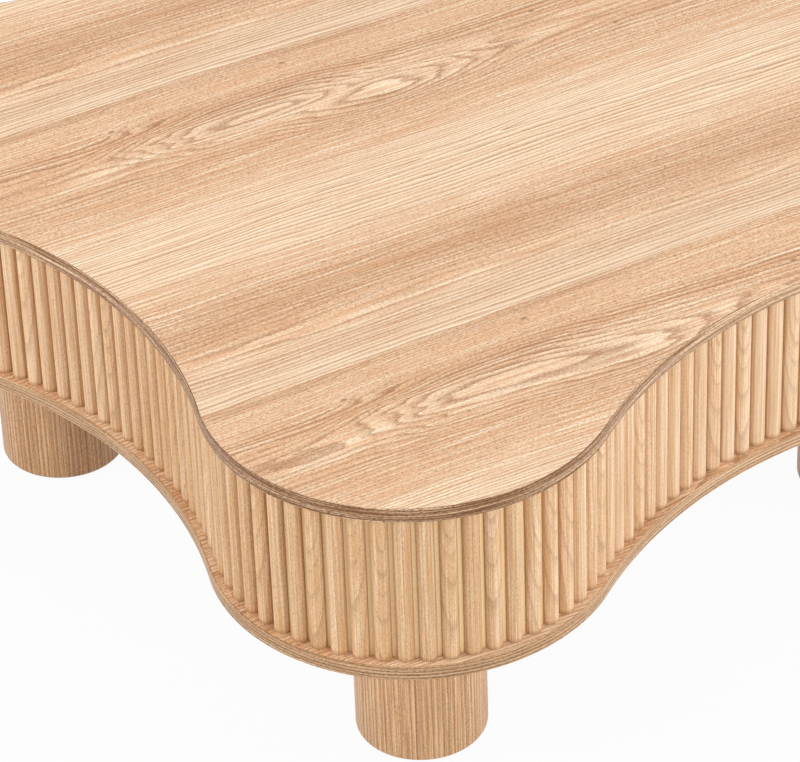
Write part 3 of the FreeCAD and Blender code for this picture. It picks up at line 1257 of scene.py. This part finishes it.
@dataclass(frozen=True)
class Finishes:
    """All finishes of the table, made from the grain groups.

    Attributes:
        face: Veneer of the boards.
        top_edge: Band of the top board.
        bottom_edge: Band of the bottom board.
        slat: Half-round slats.
        leg: Legs.
        backing: Bent backing behind the slats.
        inner: Sawn wood inside.
        felt: Foot pads.
        steel: Fasteners.
    """

    face: bpy.types.Material
    top_edge: bpy.types.Material
    bottom_edge: bpy.types.Material
    slat: bpy.types.Material
    leg: bpy.types.Material
    backing: bpy.types.Material
    inner: bpy.types.Material
    felt: bpy.types.Material
    steel: bpy.types.Material

    @classmethod
    def make(cls) -> "Finishes":
        """Build every finish.

        Returns:
            The finishes.
        """
        grain = Grain()
        face = WoodTones((0.97, 0.77, 0.545), (0.76, 0.445, 0.245), (0.37, 0.165, 0.064))
        brown = WoodTones((0.89, 0.61, 0.37), (0.235, 0.085, 0.018), (0.09, 0.034, 0.008))
        edge = WoodTones((0.82, 0.54, 0.31), (0.54, 0.30, 0.14), (0.17, 0.08, 0.032))
        slat = WoodTones((0.89, 0.64, 0.42), (0.70, 0.41, 0.19), (0.34, 0.165, 0.066))
        leg = WoodTones((0.86, 0.545, 0.30), (0.60, 0.325, 0.15), (0.25, 0.11, 0.04))
        back = WoodTones((0.98, 0.74, 0.40), (0.97, 0.70, 0.36), (0.80, 0.50, 0.24))
        sawn = WoodTones((0.72, 0.55, 0.36), (0.62, 0.45, 0.28), (0.45, 0.30, 0.17))
        face_wood = WoodFinish(
            "face_veneer", face, ring_width=0.004,
            line_share=1.1, fleck_share=0.75, streak_share=0.5, hair_share=1.1,
        )
        top_edge_wood = WoodFinish(
            "top_edge_veneer", brown, ring_width=0.0026,
            line_share=0.3, fleck_share=0.9, streak_share=0.3, hair_share=0.9,
        )
        bottom_edge_wood = WoodFinish(
            "bottom_edge_veneer", edge, ring_width=0.0029,
            line_share=0.9, fleck_share=0.7, streak_share=0.3, hair_share=1.2,
        )
        slat_wood = WoodFinish(
            "slat_wood", slat, ring_width=0.003,
            line_share=0.34, fleck_share=0.5, streak_share=0.5, hair_share=0.9,
        )
        leg_wood = WoodFinish(
            "leg_wood", leg, ring_width=0.0042,
            line_share=0.7, fleck_share=0.6, streak_share=1.2, hair_share=2.1,
        )
        back_wood = WoodFinish(
            "bent_ply", back, ring_width=0.004,
            line_share=0.4, fleck_share=0.3, streak_share=0.3, hair_share=0.3,
        )
        sawn_wood = WoodFinish(
            "inner_wood", sawn, ring_width=0.004,
            line_share=0.5, fleck_share=0.4, streak_share=0.3, hair_share=0.3, rough=0.75,
        )
        slat_heart = Heart(0.0, 0.0, 0.10, 0.019, 0.003)
        top_edge = StripWood(top_edge_wood, fineness=0.9, drift=0.12, apart=0.0)
        bottom_edge = StripWood(bottom_edge_wood, drift=0.2, apart=0.0)
        slats = StripWood(slat_wood, slat_heart, jag=0.005, tone_high=0.95, line_least=0.6)
        legs = StripWood(leg_wood, drift=1.3, drift_waves=(3.0, 30.0, 1.0))
        return cls(
            face=FaceVeneer(face_wood).make(grain),
            top_edge=top_edge.make(grain),
            bottom_edge=bottom_edge.make(grain),
            slat=slats.make(grain),
            leg=legs.make(grain),
            backing=HiddenWood(back_wood, upright=True).make(grain),
            inner=HiddenWood(sawn_wood, upright=False).make(grain),
            felt=Felt().make(),
            steel=PlatedSteel().make(),
        )


@dataclass
class Board:
    """One board with its edge band.

    Attributes:
        name: Which board, as in its nodes' names.
        outline: Outline of the boards.
        easing: Radius of the band's outer corners.
        corner_steps: Points of each eased corner.
        map_shift: Where the band's grain starts, across it.
        shade_heading: Heading from the middle of the table at which the band is darkest with painted
            shade, in degrees.
        light_and_shade_swing: How far its tone swings round the table, as painted light and shade.
        sharp: Angle past which an edge stays crisp, in degrees.
    """

    name: str
    outline: Outline
    easing: float = 0.0004
    corner_steps: int = 5
    map_shift: float = 0.02
    shade_heading: float = -150.0
    light_and_shade_swing: float = 0.5
    sharp: float = 60.0

    def band_profile(self) -> np.ndarray:
        """Closed profile of the band, as (inset, height) points: a strip with eased outer corners.

        Returns:
            Points of shape (points, 2).
        """
        low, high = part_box(f"{self.name}_edge_band")
        board_low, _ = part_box(f"{self.name}_board")
        thickness = board_low.x - low.x
        ease = self.easing
        bottom = eased_corner((ease, low.z + ease), ease, math.pi, self.corner_steps)[::-1]
        top = eased_corner((ease, high.z - ease), ease, math.pi / 2, self.corner_steps)[::-1]
        inner = np.array([[thickness, high.z], [thickness, low.z]])
        return np.concatenate([bottom, top, inner])

    def build(self, material: bpy.types.Material) -> bpy.types.Object:
        """Carry the band's profile round the outline.

        Args:
            material: Finish of the band.

        Returns:
            The band.
        """
        profile = self.band_profile()
        plan = self.outline.trace(profile[:, 0])
        height = np.broadcast_to(profile[:, 1][:, None, None], (*plan.shape[:2], 1))
        points = np.concatenate([plan, height], axis=2)[None]
        along = lengths_along(closed_round(self.outline.trace(np.zeros(1))[0]))
        across = lengths_along(closed_round(profile))
        grain = np.stack(np.meshgrid(along, across + self.map_shift), axis=-1)[None]
        # Painted light and shade: the band's tone swings twice round the table, darkest towards the
        # front left and palest towards the front right.
        heading = np.arctan2(plan[0, :, 1], plan[0, :, 0]) - math.radians(self.shade_heading)
        tone = 0.5 - self.light_and_shade_swing * np.cos(2 * heading)
        surface = Surface()
        surface.add_grid(points, grain, wrap_rows=True, wrap_columns=True, tone=tone)
        band = surface.build(f"{self.name}_band", self.sharp)
        seat(band, "edge_veneer", material, f"{self.name}_edge_band")
        return band

    def dress(self, material: bpy.types.Material) -> None:
        """Give the board itself its veneer."""
        dress_node(f"{self.name}_board", material)


@dataclass
class Apron:
    """Rows of half-round slats on the bent backing.

    Attributes:
        outline: Outline of the boards.
        ledge: How far the boards stick out past the slats.
        slat_width: Width of a slat.
        slat_depth: How far a slat stands out.
        slat_gap: Least gap between slats.
        arc_steps: Faces round each slat.
        painted_shade_start: Share of the turn from crown to foot past which a slat darkens with painted
            shade, as its side turns into the shaded gap.
        painted_shade_dark: How dark its foot is, and its sides by the gaps: painted shade.
        foot_rows: Heights above the lower end, within which a slat darkens towards the board with
            painted shade.
        arched_share: Share of the slats that are cut through a heart.
        arched_starts: Where along the grain the foot of such a slat may lie.
        plain_starts: The same for the other slats.
        arched_shifts: Where across the grain the crown of a slat cut through a heart may lie.
        plain_shifts: The same for the other slats.
        shade_heading: Heading from the middle of the table at which the slats are darkest with painted
            shade, in degrees.
        light_and_shade_swing: How much of their tone swings round the table and isn't drawn: painted
            light and shade, darkest at that heading and palest a quarter turn from it.
        seed: Start of the draw that gives each slat its own wood.
        sharp: Angle past which an edge stays crisp, in degrees.
    """

    outline: Outline
    ledge: float = 0.0052
    slat_width: float = 0.0132
    slat_depth: float = 0.0066
    slat_gap: float = 0.0022
    arc_steps: int = 18
    painted_shade_start: float = 0.76
    painted_shade_dark: float = 0.6
    foot_rows: tuple[float, ...] = (0.0012, 0.004)
    arched_share: float = 0.3
    arched_starts: Span = (-0.17, -0.11)
    plain_starts: Span = (0.25, 0.9)
    arched_shifts: Span = (-0.004, 0.004)
    plain_shifts: Span = (0.02, 0.06)
    shade_heading: float = -152.0
    light_and_shade_swing: float = 0.72
    seed: int = 11
    sharp: float = 50.0

    def grain_places(self, count: int, draw: np.random.Generator) -> tuple[np.ndarray, np.ndarray]:
        """Draw where each slat of a row lies in the wood.

        Args:
            count: Number of slats.
            draw: Source of each slat's own wood.

        Returns:
            Place of each slat's foot along the grain, and of its crown across it.
        """
        arched = draw.random(count) < self.arched_share
        arched_start = draw.uniform(*self.arched_starts, count)
        plain_start = draw.uniform(*self.plain_starts, count)
        arched_shift = draw.uniform(*self.arched_shifts, count)
        plain_shift = draw.uniform(*self.plain_shifts, count)
        start = np.where(arched, arched_start, plain_start)
        return start, np.where(arched, arched_shift, plain_shift)

    def row(self, arc: Arc, low: float, high: float, draw: np.random.Generator) -> Surface:
        """Even row of slats over one stretch of the outline.

        Each slat is a half round carried straight up: its profile runs from one edge of its back over
        the crown to the other edge, at (width / 2 times sin, depth times cos) of a turn from -90 to 90
        degrees.

        Args:
            arc: The stretch.
            low: Height of the slats' feet.
            high: Height of their heads.
            draw: Source of each slat's own wood.

        Returns:
            The row's surface.
        """
        back = self.ledge + self.slat_depth
        base = arc.rim(back)
        length = base * abs(arc.end - arc.start)
        count = 2 * math.floor(length / (self.slat_width + self.slat_gap) / 2)
        heading = arc.headings((np.arange(count) + 0.5) / count)
        turn = np.linspace(-math.pi / 2, math.pi / 2, self.arc_steps + 1)
        half = math.asin(self.slat_width / 2 / base)
        inset = back - self.slat_depth * np.cos(turn)[None]
        plan = arc.places(inset, heading[:, None] + half * np.sin(turn)[None])
        rows = np.array([0.0, *self.foot_rows, high - low])
        shape = (count, rows.size, turn.size, 1)
        height = np.broadcast_to((low + rows)[None, :, None, None], shape)
        points = np.concatenate([np.broadcast_to(plan[:, None], (*shape[:3], 2)), height], axis=3)
        # Painted light and shade: the tone swings twice round the table, darkest towards the front left
        # and palest towards the front right.
        middle = plan[:, self.arc_steps // 2]
        turned = np.arctan2(middle[:, 1], middle[:, 0]) - math.radians(self.shade_heading)
        light_and_shade = 0.5 - 0.5 * np.cos(2 * turned)
        tone = (1 - self.light_and_shade_swing) * draw.random(count) + self.light_and_shade_swing * light_and_shade
        start, shift = self.grain_places(count, draw)
        # Painted shade: each slat darkens towards its sides, where they turn into the shaded gaps, and
        # towards its foot on the board.
        aside = np.abs(turn) / (math.pi / 2)
        edge = np.clip((aside - self.painted_shade_start) / (1 - self.painted_shade_start), 0, 1)
        foot = np.clip(1 - rows / self.foot_rows[-1], 0, 1)
        painted_shade = self.painted_shade_dark * np.maximum(edge[None], foot[:, None])
        girth = turn * self.slat_width / 2
        along = rows[None, :, None] + start[:, None, None]
        across = np.append(girth, girth[0])[None, None, :] + shift[:, None, None]
        grain = np.stack(np.broadcast_arrays(along, across), axis=-1)
        surface = Surface()
        tone = tone[:, None, None]
        index = surface.add_grid(points, grain, wrap_columns=True, tone=tone, painted_shade=painted_shade)
        surface.add_faces(index[:, 0, ::-1], grain[:, 0, -2::-1])
        surface.add_faces(index[:, -1], grain[:, -1, :-1])
        return surface

    def build(self, material: bpy.types.Material) -> list[bpy.types.Object]:
        """Build all rows.

        Args:
            material: Finish of the slats.

        Returns:
            The rows.
        """
        draw = np.random.default_rng(self.seed)
        rows = []
        for place, (corner, side) in enumerate(zip(Corner, Side)):
            lobe = (f"lobe_{corner.value}", self.outline.lobe(place))
            waist = (f"waist_{side.value}", self.outline.waist(place))
            for name, arc in (lobe, waist):
                node = f"slats_{name}"
                low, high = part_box(node)
                piece = self.row(arc, low.z, high.z, draw).build(f"row_{name}", self.sharp)
                seat(piece, "slat_wood", material, node)
                rows.append(piece)
        return rows

    def dress(self, material: bpy.types.Material) -> None:
        """Give the backing panels their finish."""
        for corner, side in zip(Corner, Side):
            dress_node(f"backing_lobe_{corner.value}", material)
            dress_node(f"backing_waist_{side.value}", material)


@dataclass
class Leg:
    """One round leg and its felt pad.

    Attributes:
        corner: Lobe that it stands under.
        place: Its place in the round of lobes.
        foot_round: Radius of the foot's edge.
        shoulder_round: Radius of the upper edge.
        pad_round: Radius of the pad's edges.
        steps: Points round the leg.
        corner_steps: Points of each rounded edge.
        grain_first: Where the grain of the first leg starts, round the leg, in turns.
        grain_step: How much later that of each next leg starts.
        tone_first: Tone of the first leg's wood.
        shade_step: How much lower that of each next leg is, as painted shade that leaves the back left
            leg, under the table, darkest.
    """

    corner: Corner
    place: int
    foot_round: float = 0.0025
    shoulder_round: float = 0.0008
    pad_round: float = 0.001
    steps: int = 128
    corner_steps: int = 6
    grain_first: float = 0.31
    grain_step: float = 0.19
    tone_first: float = 0.62
    shade_step: float = 0.22

    def turned(self, name: str, node: str, edges: Span, tone: float = 0.5) -> bpy.types.Object:
        """Turned piece that fills a node's box, with rounded edges at both ends.

        Args:
            name: Name of the piece.
            node: Node that gives its box.
            edges: Radius of the lower and of the upper edge.
            tone: Tone of its wood.

        Returns:
            The piece.
        """
        low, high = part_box(node)
        middle = (low + high) / 2
        radius = (high.x - low.x) / 2
        lower, upper = edges
        foot_centre = (radius - lower, low.z + lower)
        head_centre = (radius - upper, high.z - upper)
        foot = eased_corner(foot_centre, lower, -math.pi / 2, self.corner_steps)
        head = eased_corner(head_centre, upper, 0.0, self.corner_steps)
        profile = np.concatenate([foot, head])
        points = revolve(profile[:, 0], profile[:, 1], middle, self.steps)
        grain_start = self.grain_first + self.grain_step * self.place
        turns = np.arange(self.steps + 1) / self.steps - grain_start
        across, along = np.meshgrid(turns * 2 * math.pi * radius, lengths_along(profile))
        grain = np.stack([along, across], axis=-1)[None]
        surface = Surface()
        index = surface.add_grid(points, grain, wrap_columns=True, tone=tone)
        flat = points[0, :, :, :2] - np.array(middle[:2])
        surface.add_faces(index[:, 0, ::-1], flat[None, 0, ::-1])
        surface.add_faces(index[:, -1], flat[None, -1])
        return surface.build(name)

    def build(self, wood: bpy.types.Material, felt: bpy.types.Material) -> None:
        """Build the leg and its pad.

        Args:
            wood: Finish of the leg.
            felt: Finish of the pad.
        """
        name = self.corner.value
        # Painted shade: each next leg round the table is drawn darker, so the back left leg under the
        # table is darkest.
        tone = self.tone_first - self.shade_step * self.place
        leg_edges = (self.foot_round, self.shoulder_round)
        leg = self.turned(f"turned_leg_{name}", f"leg_{name}", leg_edges, tone)
        seat(leg, "leg_wood", wood, f"leg_{name}")
        pad_edges = (self.pad_round, self.pad_round)
        pad = self.turned(f"felt_pad_{name}", f"foot_pad_{name}", pad_edges)
        seat(pad, "pad_felt", felt, f"foot_pad_{name}")


@dataclass
class RailScrews:
    """Countersunk screws under the bottom board, with a cross recess in each head.

    Attributes:
        half_rail: From the middle of the table to the end of a rail.
        places: Shares of a half rail at which its screws sit.
        shank: Diameter of the shank.
        head: Diameter of the head.
        head_height: Height of the countersink.
        point: Length of the point.
        tip: Radius of the tip.
        face_rings: Rings of the head's face.
        recess_depth: Depth of the cross recess.
        recess_width: Width of one of its wings.
        recess_reach: Length of a wing.
        recess_ease: Length over which the end of a wing slopes.
        steps: Points round the screw.
        sharp: Angle past which an edge stays crisp, in degrees.
    """

    half_rail: float
    places: tuple[float, ...] = (0.32, 0.82)
    shank: float = 0.004
    head: float = 0.008
    head_height: float = 0.0024
    point: float = 0.004
    tip: float = 0.0001
    face_rings: int = 14
    recess_depth: float = 0.0016
    recess_width: float = 0.0011
    recess_reach: float = 0.0024
    recess_ease: float = 0.0004
    steps: int = 48
    sharp: float = 30.0

    def build(self, material: bpy.types.Material) -> bpy.types.Object:
        """Turn every screw from one profile, then press the cross into the head's face.

        The head's face is a disc of rings, raised into the head by the recess depth in two crossed
        bars. The sides of a bar slope from a quarter to three quarters of its width off its middle
        line, where the share pressed in is 1.5 minus twice the distance over the width.

        Args:
            material: Finish of the screws.

        Returns:
            The screws as one piece.
        """
        low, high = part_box("rail_screws")
        rings = np.linspace(0.0, self.head / 2, self.face_rings + 1)[1:]
        face = np.stack([rings, np.full(rings.size, low.z)], axis=-1)
        neck = [self.shank / 2, low.z + self.head_height]
        shoulder = [self.shank / 2, high.z - self.point]
        profile = np.concatenate([face, np.array([neck, shoulder, [self.tip, high.z]])])
        turn = np.linspace(0, 2 * math.pi, self.steps, endpoint=False)
        x = profile[:, :1] * np.cos(turn)
        y = profile[:, :1] * np.sin(turn)
        bar = np.minimum(np.abs(x), np.abs(y))
        reach = np.maximum(np.abs(x), np.abs(y))
        wing = np.clip(1.5 - 2 * bar / self.recess_width, 0, 1)
        end = np.clip((self.recess_reach - reach) / self.recess_ease, 0, 1)
        on_face = np.arange(len(profile))[:, None] < rings.size - 1
        z = profile[:, 1:] + np.where(on_face, wing * end * self.recess_depth, 0.0)
        heading = np.repeat(np.arange(len(Side)) * math.pi / 2, len(self.places))
        offset = np.tile(np.array(self.places) * self.half_rail, len(Side))
        spots = np.stack([offset * np.cos(heading), offset * np.sin(heading)], axis=-1)
        plan = np.stack([x, y], axis=-1)[None] + spots[:, None, None, :]
        points = np.concatenate([plan, np.broadcast_to(z, plan.shape[:3])[..., None]], axis=3)
        surface = Surface()
        flat = np.zeros((len(spots), len(profile), self.steps + 1, 2))
        index = surface.add_grid(points, flat, wrap_columns=True)
        surface.add_faces(index[:, 0, ::-1], flat[:, 0, :-1])
        surface.add_faces(index[:, -1], flat[:, -1, :-1])
        screws = surface.build("cross_head_screws", self.sharp)
        seat(screws, "plated_steel", material, "rail_screws")
        return screws


@dataclass
class InnerFrame:
    """Pieces inside the apron, which keep their nodes' shapes.

    Attributes:
        wood_nodes: Nodes of sawn wood, beside the leg blocks.
        steel_nodes: Nodes of fasteners.
    """

    wood_nodes: tuple[str, ...] = (
        "splice_blocks", "rail_side_to_side", "rail_front_to_back", "top_dowels",
    )
    steel_nodes: tuple[str, ...] = ("hanger_bolts", "tee_nuts", "block_screws")

    def dress(self, wood: bpy.types.Material, steel: bpy.types.Material) -> None:
        """Give the hidden wood and the fasteners their finishes.

        Args:
            wood: Finish of the sawn wood.
            steel: Finish of the fasteners.
        """
        blocks = [f"leg_block_{corner.value}" for corner in Corner]
        for name in (*self.wood_nodes, *blocks):
            dress_node(name, wood)
        for name in self.steel_nodes:
            dress_node(name, steel)


@dataclass(frozen=True)
class Viewpoint:
    """Camera of the photograph, found from the outline, the upright slats and the round feet.

    Attributes:
        eye: Where it stands.
        heading: Its direction in plan, from +Y towards +X, in degrees.
        tilt: How far it looks down, in degrees.
        roll: How far it leans, in degrees.
        focal_pixels: Focal length in pixels of the image.
        image_width: Width of the image in pixels.
        film: Width of the film, in millimetres.
    """

    eye: tuple[float, float, float] = (-1.8611, -2.2870, 2.2756)
    heading: float = 38.231
    tilt: float = 36.643
    roll: float = 2.116
    focal_pixels: float = 4455.5
    image_width: float = 800.0
    film: float = 36.0

    def build(self) -> bpy.types.Object:
        """Set up the camera.

        Returns:
            The camera.
        """
        heading, tilt, roll = (math.radians(turn) for turn in (self.heading, self.tilt, self.roll))
        flat = math.cos(tilt)
        forward = Vector((flat * math.sin(heading), flat * math.cos(heading), -math.sin(tilt)))
        level = Vector((math.cos(heading), -math.sin(heading), 0.0))
        upright = level.cross(forward)
        right = level * math.cos(roll) - upright * math.sin(roll)
        up = upright * math.cos(roll) + level * math.sin(roll)
        data = bpy.data.cameras.new("photo_camera")
        data.sensor_width = self.film
        data.lens = self.focal_pixels / self.image_width * self.film
        camera = bpy.data.objects.new("photo_camera", data)
        turn = Matrix((right, up, -forward)).transposed().to_4x4()
        camera.matrix_world = Matrix.Translation(self.eye) @ turn
        bpy.context.scene.collection.objects.link(camera)
        bpy.context.scene.camera = camera
        return camera


@dataclass(frozen=True)
class Softbox:
    """Large soft lamp aimed at the table.

    Attributes:
        name: Name of the lamp.
        place: Where it hangs.
        size: Its width and height.
        power: Its power in watts.
        colour: Colour of its light.
        mirrored: Whether glossy surfaces mirror it.
    """

    name: str
    place: tuple[float, float, float]
    size: tuple[float, float]
    power: float
    colour: Colour = WHITE
    mirrored: bool = True

    def build(self, aim: Vector) -> None:
        """Hang the lamp and aim it at a point."""
        data = bpy.data.lights.new(self.name, "AREA")
        data.shape = "RECTANGLE"
        data.size, data.size_y = self.size
        data.energy = self.power
        data.color = self.colour
        lamp = bpy.data.objects.new(self.name, data)
        lamp.visible_glossy = self.mirrored
        lamp.location = self.place
        lamp.rotation_euler = (aim - Vector(self.place)).to_track_quat("-Z", "Y").to_euler()
        bpy.context.scene.collection.objects.link(lamp)


@dataclass
class Studio:
    """White floor, even sky and soft lamps.

    Attributes:
        sky: Strength of the even light from all round.
        floor_half: Half the side of the floor.
        floor_white: How white the floor is.
        floor_glow: Share of plain white in what is seen of the floor.
        lamps: The soft lamps.
    """

    sky: float = 0.66
    floor_half: float = 8.0
    floor_white: float = 0.65
    floor_glow: float = 0.95
    lamps: tuple[Softbox, ...] = (
        Softbox("overhead", (0.3, 0.4, 3.2), (3.2, 3.2), 19.5, (1.02, 1.0, 0.97)),
        Softbox("right_side", (2.3, -1.5, 1.1), (1.8, 1.6), 33.0, (0.92, 1.02, 1.18), False),
        Softbox("front_side", (-0.3, -3.0, 1.1), (2.0, 1.4), 31.0, (0.98, 1.0, 1.02), False),
        Softbox("left_side", (-2.6, 1.0, 1.5), (1.8, 1.6), 42.0, WHITE, False),
    )

    @staticmethod
    def seen(graph: Graph) -> Socket:
        """1 for rays from the camera, in a mirror or through glass, otherwise 0."""
        path = graph.add("ShaderNodeLightPath")
        seen = graph.calc("MAXIMUM", path.outputs["Is Camera Ray"], path.outputs["Is Glossy Ray"])
        return graph.calc("MAXIMUM", seen, path.outputs["Is Transmission Ray"])

    def build_floor(self) -> None:
        """Lay the floor, a square seen as near white that still takes a soft shadow."""
        half = self.floor_half
        corners = [(-half, -half, 0), (half, -half, 0), (half, half, 0), (-half, half, 0)]
        mesh = bpy.data.meshes.new("floor")
        mesh.from_pydata(corners, [], [(0, 1, 2, 3)])
        material = bpy.data.materials.new("white_floor")
        material.use_nodes = True
        material.node_tree.nodes.clear()
        graph = Graph(material.node_tree)
        matt = graph.add("ShaderNodeBsdfDiffuse", {"Color": (self.floor_white,) * 3})
        glow = graph.add("ShaderNodeEmission", {"Color": WHITE, "Strength": 1.0})
        share = graph.calc("MULTIPLY", self.seen(graph), self.floor_glow)
        blend = graph.add("ShaderNodeMixShader", {0: share, 1: matt.outputs[0], 2: glow.outputs[0]})
        graph.add("ShaderNodeOutputMaterial", {"Surface": blend.outputs[0]})
        mesh.materials.append(material)
        floor = bpy.data.objects.new("floor", mesh)
        bpy.context.scene.collection.objects.link(floor)

    def build_sky(self) -> None:
        """Light the table evenly from all round, and show plain white behind it."""
        world = bpy.data.worlds.new("studio_sky")
        world.use_nodes = True
        world.node_tree.nodes.clear()
        graph = Graph(world.node_tree)
        strength = graph.calc("MULTIPLY_ADD", self.seen(graph), 1.0 - self.sky, self.sky)
        white = graph.add("ShaderNodeBackground", {"Color": WHITE, "Strength": strength})
        graph.add("ShaderNodeOutputWorld", {"Surface": white.outputs[0]})
        bpy.context.scene.world = world

    def build(self, aim: Vector) -> None:
        """Set up floor, sky and lamps round a point."""
        self.build_floor()
        self.build_sky()
        for lamp in self.lamps:
            lamp.build(aim)


def main() -> None:
    """Build every piece, dress the nodes that stay, and set up the studio."""
    logging.basicConfig(level=logging.INFO, format="%(name)s: %(message)s")
    bpy.context.scene.view_settings.view_transform = "Standard"
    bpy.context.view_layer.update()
    _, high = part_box("top_edge_band")
    outline = Outline(half_width=high.x)
    finishes = Finishes.make()
    for name, edge in (("top", finishes.top_edge), ("bottom", finishes.bottom_edge)):
        board = Board(name, outline)
        board.build(edge)
        board.dress(finishes.face)
    apron = Apron(outline)
    apron.build(finishes.slat)
    apron.dress(finishes.backing)
    for place, corner in enumerate(Corner):
        Leg(corner, place).build(finishes.leg, finishes.felt)
    _, rail_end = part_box("rail_side_to_side")
    RailScrews(half_rail=rail_end.x).build(finishes.steel)
    InnerFrame().dress(finishes.inner, finishes.steel)
    Studio().build(Vector((0.0, 0.0, high.z / 2)))
    Viewpoint().build()


if __name__ == "__main__":
    main()
